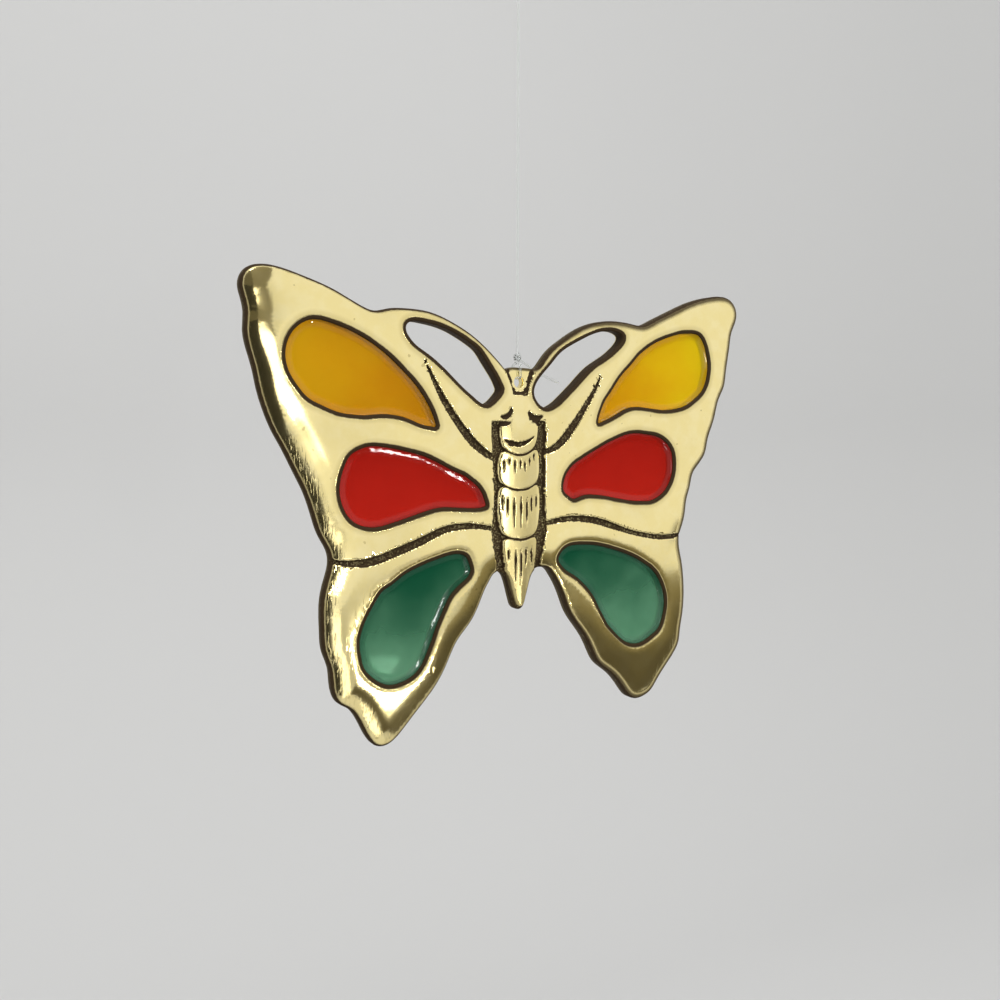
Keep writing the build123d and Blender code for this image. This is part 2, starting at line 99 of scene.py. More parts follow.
class Resin(Enum):
    """The three colours of poured resin."""

    AMBER = "amber_resin"
    RED = "red_resin"
    GREEN = "green_resin"


class Wire:
    """One output of a shader node, with arithmetic that adds Math nodes."""

    def __init__(self, shader: Shader, socket: bpy.types.NodeSocket) -> None:
        """Keeps the shader that the socket belongs to."""
        self.shader = shader
        self.socket = socket

    def _maths(self, operation: str, *values: Wire | float) -> Wire:
        """A Math node on the values."""
        return self.shader.node("ShaderNodeMath", {"operation": operation}, dict(enumerate(values)))

    def __add__(self, other: Wire | float) -> Wire:
        """The sum."""
        return self._maths("ADD", self, other)

    def __radd__(self, other: float) -> Wire:
        """The sum, number first."""
        return self._maths("ADD", other, self)

    def __sub__(self, other: Wire | float) -> Wire:
        """The difference."""
        return self._maths("SUBTRACT", self, other)

    def __rsub__(self, other: float) -> Wire:
        """The difference, number first."""
        return self._maths("SUBTRACT", other, self)

    def __mul__(self, other: Wire | float) -> Wire:
        """The product."""
        return self._maths("MULTIPLY", self, other)

    def __rmul__(self, other: float) -> Wire:
        """The product, number first."""
        return self._maths("MULTIPLY", other, self)

    def __truediv__(self, other: Wire | float) -> Wire:
        """The quotient."""
        return self._maths("DIVIDE", self, other)

    def __or__(self, other: Wire | float) -> Wire:
        """The larger of two masks."""
        return self._maths("MAXIMUM", self, other)

    def __and__(self, other: Wire | float) -> Wire:
        """The smaller of two masks."""
        return self._maths("MINIMUM", self, other)

    def rising(self, start: float, end: float) -> Wire:
        """A smooth mask that goes from 0 at start to 1 at end.

        Args:
            start: Value below which the mask is 0.
            end: Value above which it is 1.

        Returns:
            The mask.
        """
        settings = {"interpolation_type": "SMOOTHSTEP", "clamp": True}
        inputs = {"Value": self, "From Min": start, "From Max": end}
        return self.shader.node("ShaderNodeMapRange", settings, inputs)

    def falling(self, start: float, end: float) -> Wire:
        """A smooth mask that goes from 1 at start to 0 at end."""
        return 1.0 - self.rising(start, end)


class Shader:
    """A material's node tree, built from typed nodes and arithmetic on their outputs."""

    def __init__(self, name: str) -> None:
        """Starts an empty material.

        Args:
            name: The material's name.
        """
        self.material = bpy.data.materials.new(name)
        self.material.use_nodes = True
        self.tree = self.material.node_tree
        self.tree.nodes.clear()

    def node(
        self,
        kind: str,
        settings: dict[str, Any] | None = None,
        inputs: dict[str | int, Any] | None = None,
        output: str | int = 0,
    ) -> Wire:
        """Adds one node.

        Args:
            kind: The node's type.
            settings: Its own properties, which are set first.
            inputs: Values or wires for its sockets, by name or number.
            output: The socket that is wanted.

        Returns:
            The wanted output.
        """
        made = self.tree.nodes.new(kind)
        for name, value in (settings or {}).items():
            setattr(made, name, value)
        for name, value in (inputs or {}).items():
            if isinstance(value, Wire):
                self.tree.links.new(value.socket, made.inputs[name])
            else:
                made.inputs[name].default_value = value
        return Wire(self, made.outputs[output])

    def places(self, origin: Vector) -> tuple[Wire, Wire, Wire]:
        """The surface's place in millimetres from an origin.

        Args:
            origin: The origin, in millimetres of the shared frame.

        Returns:
            Across, depth and height.
        """
        spot = self.node("ShaderNodeTexCoord", output="Object")
        millimetres = self.node("ShaderNodeVectorMath", {"operation": "SCALE"}, {0: spot, "Scale": 1 / MM})
        moved = self.node("ShaderNodeVectorMath", {"operation": "SUBTRACT"}, {0: millimetres, 1: origin})
        return tuple(self.node("ShaderNodeSeparateXYZ", inputs={0: moved}, output=axis) for axis in "XYZ")

    def noise(
        self, scale: float, detail: float = 2.0, stretch: Place = (1.0, 1.0, 1.0), turn: float = 0.0
    ) -> Wire:
        """Noise over the surface.

        Args:
            scale: Cells in a metre.
            detail: Octaves.
            stretch: How much finer the noise is along each axis.
            turn: Turn about the depth axis, in degrees.

        Returns:
            The noise, from 0 to 1.
        """
        spot = self.node("ShaderNodeTexCoord", output="Object")
        placing = {0: spot, "Rotation": (0, math.radians(turn), 0), "Scale": stretch}
        turned = self.node("ShaderNodeMapping", inputs=placing)
        return self.node("ShaderNodeTexNoise", inputs={"Vector": turned, "Scale": scale, "Detail": detail})

    def attribute(self, name: str) -> Wire:
        """A number that the mesh carries at its points."""
        return self.node("ShaderNodeAttribute", {"attribute_name": name}, output="Fac")

    def mix(self, start: Any, end: Any, share: Wire | float) -> Wire:
        """A colour between two.

        Args:
            start: Colour where the share is 0.
            end: Colour where it is 1.
            share: The share.

        Returns:
            The mixed colour.
        """
        colours = [(*value, 1.0) if isinstance(value, tuple) else value for value in (start, end)]
        settings = {"data_type": "RGBA", "clamp_factor": True}
        return self.node("ShaderNodeMix", settings, {0: share, 6: colours[0], 7: colours[1]}, output=2)

    def bump(self, height: Wire, strength: float, depth: float, below: Wire | None = None) -> Wire:
        """A bumped normal.

        Args:
            height: The height, from 0 to 1.
            strength: How much of the bump shows.
            depth: The height of 1, in metres.
            below: A normal that the bump lies on.

        Returns:
            The normal.
        """
        inputs = {"Height": height, "Strength": strength, "Distance": depth}
        if below is not None:
            inputs["Normal"] = below
        return self.node("ShaderNodeBump", inputs=inputs)

    def finish(self, inputs: dict[str, Any]) -> bpy.types.Material:
        """Closes the material with a Principled shader.

        Args:
            inputs: Values or wires for the shader's sockets.

        Returns:
            The material.
        """
        surface = self.node("ShaderNodeBsdfPrincipled", inputs=inputs)
        output = self.tree.nodes.new("ShaderNodeOutputMaterial")
        self.tree.links.new(surface.socket, output.inputs["Surface"])
        return self.material


@dataclass(frozen=True)
class AntiqueBrass:
    """Polished yellow brass with a dark patina left in its recesses.

    Reaches are distances in millimetres and levels are values of a noise or an attribute, each
    as (where the mask starts, where it ends).
    """

    polished: Colour = (0.93, 0.785, 0.37)
    pale: Colour = (0.98, 0.86, 0.49)
    tarnish: Colour = (0.52, 0.42, 0.18)
    patina: Colour = (0.026, 0.013, 0.005)
    line_reach: Point = (0.82 * 0.75, 0.82 * 1.05)
    rim_line_reach: Point = (0.30, 0.72)
    rim_line_share: float = 0.93
    # Where across the rim's dark line widens as painted shade on the right side.
    shaded_right_rim: Point = (5.0, 25.0)
    recess_levels: Point = (0.024, 0.062)
    pit_levels: Point = (0.735, 0.775)
    body_side: Point = (3.0, 4.2)
    body_top: Point = (-7.0, -12.0)
    back_reach: Point = (0.9, 1.2)
    polish: float = 0.088
    patina_share: float = 0.985

    def material(self, hole: Vector) -> bpy.types.Material:
        """Builds the material.

        Args:
            hole: The tab hole's place, in millimetres.

        Returns:
            The material.
        """
        shader = Shader("antique_brass")
        across, depth, height = shader.places(hole)
        hollow = shader.attribute("hollow")
        cut = shader.attribute("recess")
        hole_gap = shader.attribute("hole_gap")
        rim_gap = shader.attribute("rim_gap")
        mottle = shader.noise(420.0, 3.0)
        grit = shader.noise(3400.0, 3.0)
        broad = shader.noise(55.0, 2.0)
        ragged = (mottle - 0.5) * 0.5 + (grit - 0.5) * 0.35
        # The dark patina round the cells, along the rim and in the recesses, with painted shade: a shadow in
        # the cell lines, a rim line widened on the right, and outer side walls darkened away from the left
        # wing.
        # Round each cell: patina in the bevel, with painted shadow where the wall meets the pane.
        cell_patina_and_shadow = (hole_gap + ragged * 0.35).falling(*self.line_reach) * depth.falling(1.0, 1.25)
        # Painted shade: the outer side walls are darkened, fading out towards the left wing, whose walls stay
        # gold.
        shaded_side_wall = depth.rising(-0.9, -0.2) * across.rising(-42.0, -20.0) * 0.8
        # Along the rim: patina, widened on the right side by painted shade.
        rim_width = 1.0 + across.rising(*self.shaded_right_rim) * 1.1
        rim_patina_and_shade = ((rim_gap + ragged * 0.4) / rim_width).falling(*self.rim_line_reach) * self.rim_line_share
        speckle = grit.rising(0.50, 0.64) * hollow.rising(0.45, 0.65) * 0.5
        recess = (cut + ragged * 0.03).rising(*self.recess_levels) * (1.0 - speckle)
        dark = (cell_patina_and_shadow | recess) | (rim_patina_and_shade | shaded_side_wall * rim_gap.falling(0.0, 0.2))
        # The body keeps its cast skin, the back is ground flat, and the margins are brushed.
        inner, outer = self.body_side
        cast = across.rising(-outer, -inner) * across.falling(inner, outer) * height.rising(*self.body_top)
        cast = cast * depth.falling(0.2, 0.8)
        ground = depth.rising(*self.back_reach)
        # The body keeps its cast skin, the back is ground flat, and the margins are brushed. A band round
        # each cell is tinted darker as painted shade.
        pits = shader.noise(700.0, 1.0).rising(*self.pit_levels)
        dull = broad.rising(0.50, 0.72) * 0.18 | hole_gap.falling(0.9, 1.9) * 0.38 | cast * 0.45 | pits * 0.6
        dull = dull | ground * (0.25 + mottle * 0.3)
        metal = shader.mix(self.polished, self.pale, mottle.rising(0.35, 0.75) * 0.5)
        metal = shader.mix(metal, self.tarnish, dull)
        brushed = self._brushed(across, height, rim_gap, hole_gap)
        scratch = shader.noise(2600.0, 2.0, (1.0, 1.0, 0.16), 62.0)
        lines = scratch.rising(0.52, 0.66) * brushed
        metal = shader.mix(metal, self.tarnish, lines * 0.45)
        duller = brushed * 0.03 | cast * 0.17 | ground * 0.2
        rough = self.polish + (mottle - 0.5) * 0.03 + duller + dark * 0.5
        fine = shader.bump(lines, 0.35, 0.03 * MM)
        return shader.finish({
            "Base Color": shader.mix(metal, self.patina, dark * self.patina_share),
            "Metallic": 1.0 - dark,
            "Roughness": rough,
            "Specular IOR Level": 0.08,
            "Normal": shader.bump(grit * dark + mottle * 0.02, 0.8, 0.12 * MM, fine),
        })

    @staticmethod
    def _brushed(across: Wire, height: Wire, rim_gap: Wire, hole_gap: Wire) -> Wire:
        """Where the margins keep the marks of the polishing belt.

        Args:
            across: Place across from the tab hole.
            height: Height from the tab hole.
            rim_gap: Distance from the outer edge.
            hole_gap: Distance from the nearest cell.

        Returns:
            The mask.
        """
        left_margin = across.rising(-31.0, -36.0) * height.rising(-7.0, -13.0)
        left_tail = across.rising(-14.0, -20.0) * height.rising(-40.0, -48.0)
        right_tail = across.rising(22.0, 27.0) * height.rising(-46.0, -52.0)
        margins = (left_margin | left_tail * 0.7 | right_tail * 0.4) * rim_gap.falling(1.6, 3.6)
        beside_cell = across.rising(-24.0, -29.0) * height.rising(-34.0, -38.0) * height.falling(-46.0, -52.0)
        return margins | beside_cell * hole_gap.falling(1.4, 3.4)


@dataclass(frozen=True)
class PouredResin:
    """Translucent coloured resin with a glossy top."""

    resin: Resin
    # The colour runs from deep to light as painted light falls across the pane.
    deep: Colour
    light: Colour
    through: float = 0.55

    def material(self) -> bpy.types.Material:
        """Builds the material.

        Returns:
            The material.
        """
        shader = Shader(self.resin.value)
        cloud = shader.noise(120.0, 3.0)
        gap = shader.attribute("gap")
        ripple = shader.noise(75.0, 1.0) + shader.noise(800.0, 1.0) * (0.06 + gap.falling(0.7, 1.4) * 0.75)
        # Painted light and shade: the resin is painted lighter towards its lit side and darker near the
        # cell's walls, with random clouds.
        painted_light_and_cloud = shader.attribute("share") * (0.4 + gap / 2.5 & 1.0) + (cloud - 0.5) * 0.7
        colour = shader.mix(self.deep, self.light, painted_light_and_cloud.rising(0.0, 1.0))
        return shader.finish({
            "Base Color": colour,
            "Roughness": 0.06 + cloud * 0.05,
            "Transmission Weight": self.through,
            "IOR": 1.06,
            "Coat Weight": gap.falling(0.8, 1.3) * 0.45,
            "Coat Roughness": 0.03,
            "Normal": shader.bump(ripple, 0.35, 0.4 * MM),
        })


@dataclass(frozen=True)
class ClearNylon:
    """Clear drawn nylon."""

    tint: Colour = (0.90, 0.94, 0.92)

    def material(self) -> bpy.types.Material:
        """Builds the material.

        Returns:
            The material.
        """
        shader = Shader("clear_nylon")
        streak = shader.noise(500.0, 2.0, (1.0, 1.0, 0.08))
        return shader.finish({
            "Base Color": shader.mix(self.tint, (1.0, 1.0, 1.0), streak),
            "Roughness": 0.06 + streak * 0.08,
            "Transmission Weight": 0.9,
            "IOR": 1.53,
            "Normal": shader.bump(streak, 0.2, 0.02 * MM),
        })


def object_from(bm: bmesh.types.BMesh, name: str, material: bpy.types.Material) -> bpy.types.Object:
    """Writes a bmesh to a new smooth object in metres.

    Args:
        bm: The mesh in millimetres, which is freed.
        name: The object's name.
        material: Its finish.

    Returns:
        The object.
    """
    bmesh.ops.scale(bm, vec=(MM, MM, MM), verts=bm.verts)
    for face in bm.faces:
        face.smooth = True
    mesh = bpy.data.meshes.new(name)
    bm.to_mesh(mesh)
    bm.free()
    mesh.materials.append(material)
    made = bpy.data.objects.new(name, mesh)
    bpy.context.scene.collection.objects.link(made)
    return made


def node_copy(node: str) -> bmesh.types.BMesh:
    """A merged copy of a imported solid, in millimetres.

    Args:
        node: The solid's node.

    Returns:
        The copy.
    """
    source = FRAME["nodes"][node]
    bm = bmesh.new()
    bm.from_mesh(source.data)
    bmesh.ops.transform(bm, matrix=Matrix.Scale(1 / MM, 4) @ source.matrix_world, verts=bm.verts)
    bmesh.ops.remove_doubles(bm, verts=bm.verts, dist=1e-4)
    return bm


class Outline:
    """A closed outline in the plane of the wings, with even points and their normals into the metal."""

    def __init__(self, points: Sequence[Point], step: float, into_left: bool) -> None:
        """Resamples rough points evenly on a smooth curve.

        Args:
            points: The rough outline, once round.
            step: Distance between the even points.
            into_left: Whether the metal lies to the left of an anticlockwise round.
        """
        if self.area(points) < 0:
            points = list(reversed(points))
        self.points = self._even(self._corners(points), step)
        side = 1.0 if into_left else -1.0
        count = len(self.points)
        self.normals: list[Point] = []
        for i in range(count):
            (x0, z0), (x1, z1) = self.points[i - 1], self.points[(i + 1) % count]
            run, rise = x1 - x0, z1 - z0
            length = math.hypot(run, rise)
            self.normals.append((-rise / length * side, run / length * side))

    @staticmethod
    def area(points: Sequence[Point]) -> float:
        """The signed area inside the points."""
        following = [*points[1:], points[0]]
        return sum(x0 * z1 - x1 * z0 for (x0, z0), (x1, z1) in zip(points, following)) / 2

    @staticmethod
    def _corners(points: Sequence[Point], least_turn: float = 0.004) -> list[Point]:
        """The points where the rough outline turns.

        Args:
            points: The rough outline, once round.
            least_turn: The smallest turn that counts, in radians.

        Returns:
            The points.
        """
        kept = []
        for i, (x, z) in enumerate(points):
            (x0, z0), (x1, z1) = points[i - 1], points[(i + 1) % len(points)]
            turn = math.atan2(z1 - z, x1 - x) - math.atan2(z - z0, x - x0)
            if abs(math.remainder(turn, math.tau)) > least_turn:
                kept.append((x, z))
        return kept

    @staticmethod
    def _even(points: Sequence[Point], step: float, fineness: int = 12, least_count: int = 40) -> list[Point]:
        """Even points on the centripetal curve through the given ones.

        Args:
            points: The given points, once round.
            step: Distance between the even points.
            fineness: Short chords between two given points.
            least_count: The fewest points of an outline.

        Returns:
            The even points.
        """
        rough = [Vector(point) for point in points]
        dense: list[Vector] = []
        for i, here in enumerate(rough):
            before, after, later = rough[i - 1], rough[(i + 1) % len(rough)], rough[(i + 2) % len(rough)]
            t0, t1, t2 = ((b - a).length ** 0.5 for a, b in ((before, here), (here, after), (after, later)))
            start = (after - here) + t1 * ((here - before) / t0 - (after - before) / (t0 + t1))
            end = (after - here) + t1 * ((later - after) / t2 - (later - here) / (t1 + t2))
            for k in range(fineness):
                s = k / fineness
                dense.append(
                    here * (2 * s**3 - 3 * s**2 + 1) + start * (s**3 - 2 * s**2 + s)
                    + after * (3 * s**2 - 2 * s**3) + end * (s**3 - s**2)
                )
        lengths = [0.0]
        for here, after in zip(dense, [*dense[1:], dense[0]]):
            lengths.append(lengths[-1] + (after - here).length)
        count = max(least_count, round(lengths[-1] / step))
        even, k = [], 0
        for i in range(count):
            goal = lengths[-1] * i / count
            while lengths[k + 1] < goal:
                k += 1
            share = (goal - lengths[k]) / (lengths[k + 1] - lengths[k])
            here, after = dense[k], dense[(k + 1) % len(dense)]
            even.append(tuple(here.lerp(after, share)))
        return even

    def at(self, index: int, inset: float) -> Point:
        """One point moved into the metal."""
        (x, z), (right, up) = self.points[index], self.normals[index]
        return x + right * inset, z + up * inset


def place_of(vert: bmesh.types.BMVert) -> Point:
    """A point's place across and its height, by which points are put in order."""
    return vert.co.x, vert.co.z


def cut_outlines(bm: bmesh.types.BMesh, depth: float) -> list[list[Point]]:
    """Cuts a solid at a depth and follows the outlines of the cut.

    Args:
        bm: The solid, which is used up.
        depth: The depth of the cut.

    Returns:
        Each outline's points in order, the largest outline first.
    """
    bmesh.ops.bisect_plane(
        bm, geom=[*bm.verts, *bm.edges, *bm.faces], dist=1e-5, plane_co=(0, depth, 0), plane_no=(0, 1, 0),
        clear_inner=True, clear_outer=True,
    )
    bmesh.ops.remove_doubles(bm, verts=bm.verts, dist=1e-3)
    # A set has another order in each run. A dictionary keeps its own, so that every run starts an
    # outline at the same point and goes round it the same way.
    left = dict.fromkeys(sorted(bm.verts, key=place_of))
    outlines = []
    while left:
        here = start = next(iter(left))
        points, arrived = [], None
        while True:
            points.append(place_of(here))
            left.pop(here, None)
            onward = {place_of(e.other_vert(here)): e for e in here.link_edges if e is not arrived}
            arrived = onward[min(onward)]
            here = arrived.other_vert(here)
            if here is start:
                break
        outlines.append(points)
    bm.free()
    return sorted(outlines, key=lambda points: -abs(Outline.area(points)))


def ring_profile(radius: float, steps: int, start: float, towards: float) -> list[tuple[float, float]]:
    """A quarter round as (inset, depth) pairs.

    Args:
        radius: The round's radius.
        steps: Its segments.
        start: Depth where the straight wall ends.
        towards: 1 towards the back, -1 towards the front.

    Returns:
        The pairs, from the wall to the face.
    """
    angles = [math.pi / 2 * k / steps for k in range(steps + 1)]
    return [(radius * (1 - math.cos(a)), start + towards * radius * math.sin(a)) for a in angles]


class WalledMesh:
    """A mesh whose walls rise from outlines, with faces filled in between them."""

    def __init__(self) -> None:
        """Starts an empty mesh whose points remember their outline and their place on it."""
        self.bm = bmesh.new()
        self.place = self.bm.verts.layers.int.new("place")
        self.which = self.bm.verts.layers.int.new("which")

    def first_ring(self, outline: Outline, number: int, depth: float) -> list[bmesh.types.BMEdge]:
        """Lays an outline down as a ring of edges.

        Args:
            outline: The outline.
            number: Its number.
            depth: Its depth.

        Returns:
            The edges.
        """
        ring = []
        for i, (x, z) in enumerate(outline.points):
            vert = self.bm.verts.new((x, depth, z))
            vert[self.place] = i
            vert[self.which] = number
            ring.append(vert)
        return [self.bm.edges.new(pair) for pair in zip(ring, [*ring[1:], ring[0]])]

    def wall(
        self, outline: Outline, edges: Iterable[bmesh.types.BMEdge], profile: Sequence[tuple[float, float]]
    ) -> list[bmesh.types.BMEdge]:
        """Extrudes a ring through a profile.

        Args:
            outline: The outline that the ring follows.
            edges: The ring's edges.
            profile: Each further ring as (inset, depth).

        Returns:
            The last ring's edges.
        """
        edges = list(edges)
        for inset, depth in profile:
            grown = bmesh.ops.extrude_edge_only(self.bm, edges=edges)["geom"]
            for vert in (v for v in grown if isinstance(v, bmesh.types.BMVert)):
                x, z = outline.at(vert[self.place], inset)
                vert.co = (x, depth, z)
            edges = [e for e in grown if isinstance(e, bmesh.types.BMEdge) and len(e.link_faces) == 1]
        return edges

    def fill(self, edges: Iterable[bmesh.types.BMEdge], facing: float) -> list[bmesh.types.BMFace]:
        """Fills the face between rings with triangles."""
        filled = bmesh.ops.triangle_fill(self.bm, use_beauty=True, edges=list(edges), normal=(0, facing, 0))
        return [f for f in filled["geom"] if isinstance(f, bmesh.types.BMFace)]

    def slice(self, faces: Iterable[bmesh.types.BMFace], step: float) -> list[bmesh.types.BMFace]:
        """Cuts faces along an even grid.

        Args:
            faces: The faces.
            step: The grid's step.

        Returns:
            The smaller faces.
        """
        parts = list(faces)
        for axis in (Vector((1, 0, 0)), Vector((0, 0, 1))):
            # Each element once, in an order that is the same in every run.
            geometry = dict.fromkeys(part for face in parts for part in (face, *face.edges, *face.verts))
            reaches = [v.co.dot(axis) for v in geometry if isinstance(v, bmesh.types.BMVert)]
            first, last = math.floor(min(reaches) / step) + 1, math.ceil(max(reaches) / step)
            for k in range(first, last):
                cut = bmesh.ops.bisect_plane(
                    self.bm, geom=list(geometry), dist=1e-3, plane_co=axis * (k * step), plane_no=axis
                )
                geometry = cut["geom"]
            parts = [element for element in geometry if isinstance(element, bmesh.types.BMFace)]
        return parts

    def sharpen(self, back: float, least_angle: float = 1.0, hair: float = 0.01) -> None:
        """Gives the square edges of the back face a crisp shade.

        Args:
            back: The back face's depth.
            least_angle: The smallest turn of a square edge, in radians.
            hair: How far in front of the back face a point still lies on it.
        """
        for edge in self.bm.edges:
            on_back = min(vert.co.y for vert in edge.verts) > back - hair
            if on_back and edge.calc_face_angle(0.0) > least_angle:
                edge.smooth = False

    def halve(self, faces: Iterable[bmesh.types.BMFace]) -> list[bmesh.types.BMFace]:
        """Cuts each face into four.

        Args:
            faces: The faces.

        Returns:
            The smaller faces.
        """
        faces = list(faces)
        edges = dict.fromkeys(edge for face in faces for edge in face.edges)
        cut = bmesh.ops.subdivide_edges(self.bm, edges=list(edges), cuts=1, use_grid_fill=True)
        return [f for f in cut["geom_inner"] if isinstance(f, bmesh.types.BMFace)] or faces


def tree_of(points: Iterable[Point]) -> KDTree:
    """A search tree of points on walls, to measure how far away the walls are.

    Args:
        points: The points.

    Returns:
        The tree.
    """
    places = [(x, 0.0, z) for x, z in points]
    tree = KDTree(len(places))
    for i, place in enumerate(places):
        tree.insert(place, i)
    tree.balance()
    return tree


@dataclass
class BrassCasting:
    """The casting: wings, body, antennae and tab in one piece.

    Sizes are in millimetres, and places are measured in the shared frame.
    """

    finish: AntiqueBrass = field(default_factory=AntiqueBrass)
    section: float = 0.6
    outline_step: float = 0.40
    outer_round: float = 0.7
    outer_segments: int = 6
    hole_round: float = 0.3
    hole_segments: int = 4
    back_round: float = 0.25
    back_segments: int = 3
    back_flat: float = 0.45
    face_step: float = 0.68
    back_step: float = 3.0
    least_relief: float = 0.03
    rim_fall: float = 0.22
    rim_reach: float = 4.0
    worn_fall: float = 0.80
    worn_reach: float = 7.5
    worn_edge: float = -22.0
    worn_facing: float = 0.35
    cell_fall: float = 0.12
    cell_reach: float = 1.8
    swell: float = 0.045
    swell_width: float = 9.0
    tab_reach: float = 3.0
    tab_top: float = 1.5
    tab_trim: float = 0.16
    trim_half_width: float = 2.6
    trim_rise: float = 2.5
    ring_inset: float = 0.12
    ring_relief: float = 0.05
    ray_start: float = -10.0
    ray_length: float = 20.0
    ray_reach: float = 0.09
    fine_reach: float = 0.05
    hollow_reaches: Point = (0.4, 0.75)
    recess_depth: float = 0.14
    back_hole_gap: float = 0.35

    def build(self) -> bpy.types.Object:
        """Models the casting over its solid.

        Returns:
            The object.
        """
        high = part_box("brass_casting")[1] / MM
        self.back = high.y
        self.front = -high.y
        self.solid = node_copy("brass_casting")
        self.tree = BVHTree.FromBMesh(self.solid)
        rough = cut_outlines(self.solid, self.section)
        self.outlines = [
            Outline(points, self.outline_step, number == 0) for number, points in enumerate(rough)
        ]
        self.hole = self._tab_hole()
        self._trim_tab()
        self.rim = tree_of(self.outlines[0].points)
        self.holes = tree_of(point for outline in self.outlines[1:-1] for point in outline.points)
        self.worn_rim = tree_of(self._worn_points())
        LOG.info("casting outlines: %s", [len(outline.points) for outline in self.outlines])
        self.mesh = WalledMesh()
        self._walls()
        self._relief()
        bmesh.ops.triangulate(self.mesh.bm, faces=self.mesh.bm.faces)
        bmesh.ops.recalc_face_normals(self.mesh.bm, faces=self.mesh.bm.faces)
        self.mesh.sharpen(self.back)
        self._attributes()
        LOG.info("casting triangles: %d", len(self.mesh.bm.faces))
        piece = object_from(self.mesh.bm, "brass_butterfly", self.finish.material(self.hole))
        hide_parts("brass_casting")
        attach(piece, Body.BUTTERFLY.value)
        return piece

    def _tab_hole(self) -> Vector:
        """The middle of the smallest hole, which is the tab's.

        Returns:
            The middle.
        """
        points = self.outlines[-1].points
        count = len(points)
        return Vector((sum(x for x, _ in points) / count, 0.0, sum(z for _, z in points) / count))

    def _trim_tab(self) -> None:
        """Takes a little off the tab's top, so that the line's eye swings past it freely."""
        rim = self.outlines[0]
        for i, (x, z) in enumerate(rim.points):
            if z > self.hole.z + self.tab_top:
                share = min(1.0, self.trim_rise * max(0.0, 1.0 - abs(x) / self.trim_half_width))
                rim.points[i] = (x, z - self.tab_trim * share)

    def _worn_points(self) -> list[Point]:
        """The points of the left wing's outer margin, which is worn round."""
        rim = zip(self.outlines[0].points, self.outlines[0].normals)
        return [(x, z) for (x, z), (right, _) in rim if x < self.worn_edge and right > self.worn_facing]

    def _walls(self) -> None:
        """Raises the walls from the section to both faces, and fills the faces."""
        fronts, backs = [], []
        for number, outline in enumerate(self.outlines):
            outer = number == 0
            ring = self.mesh.first_ring(outline, number, self.section)
            front_round = self.outer_round if outer else self.hole_round
            steps = self.outer_segments if outer else self.hole_segments
            before = ring_profile(front_round, steps, self.front + front_round, -1.0)
            fronts += self.mesh.wall(outline, ring, before)
            behind = ring_profile(self.back_round, self.back_segments, self.back - self.back_round, 1.0)
            behind.append((self.back_flat, self.back))
            backs += self.mesh.wall(outline, ring, behind if outer else [(0.0, self.back)])
        self.face = self.mesh.slice(self.mesh.fill(fronts, -1.0), self.face_step)
        self.mesh.slice(self.mesh.fill(backs, 1.0), self.back_step)

    def _height(self, x: float, z: float, reach: float) -> float | None:
        """The solid's front depth, averaged over a small disc.

        Args:
            x: Place across.
            z: Height.
            reach: The disc's radius.

        Returns:
            The depth, or None over a hole.
        """
        spots = [(0.0, 0.0), *self._spots(reach, 8)]
        found = [self._front_depth(x + right, z + up) for right, up in spots]
        found = [depth for depth in found if depth is not None]
        return sum(found) / len(found) if found else None

    @staticmethod
    def _spots(reach: float, count: int) -> list[Point]:
        """The first of eight places that stand evenly round a circle."""
        return [(reach * math.cos(k * math.pi / 4), reach * math.sin(k * math.pi / 4)) for k in range(count)]

    @staticmethod
    def _gap(tree: KDTree, x: float, z: float) -> float:
        """The distance to the nearest wall of some outlines."""
        return tree.find((x, 0.0, z))[2]

    def _is_formed(self, face: bmesh.types.BMFace, reach: float) -> bool:
        """Whether the solid has relief near a face, apart from its rounded edges.

        Args:
            face: The face.
            reach: How far beside its middle relief still counts.

        Returns:
            Whether it has.
        """
        middle = face.calc_center_median()
        for right, up in ((0, 0), (reach, reach), (-reach, reach), (reach, -reach), (-reach, -reach)):
            x, z = middle.x + right, middle.z + up
            if self._gap(self.rim, x, z) < self.outer_round or self._gap(self.holes, x, z) < self.hole_round:
                continue
            depth = self._front_depth(x, z)
            if depth is not None and abs(depth - self.front) > self.least_relief:
                return True
        return False

    def _relief(self) -> None:
        """Refines the front where the solid has relief, and moves it onto the solid."""
        step = self.face_step
        for level in range(2):
            formed = [face for face in self.face if self._is_formed(face, step)]
            inner = self.mesh.halve(formed)
            LOG.info("relief level %d: %d faces", level, len(formed))
            self.face = [face for face in inner if face.is_valid]
            step /= 2
        hair = 1e-4
        limit = self.front + self.outer_round + hair
        for vert in self.mesh.bm.verts:
            if vert.co.y <= limit:
                self._settle(vert)

    def _settle(self, vert: bmesh.types.BMVert) -> None:
        """Moves one point of the front onto the solid, with the worn fall at the edges.

        Args:
            vert: The point.
        """
        x, z = vert.co.x, vert.co.z
        rim, holes = self._gap(self.rim, x, z), self._gap(self.holes, x, z)
        nearly = 0.98
        if min(rim / self.outer_round, holes / self.hole_round) < nearly:
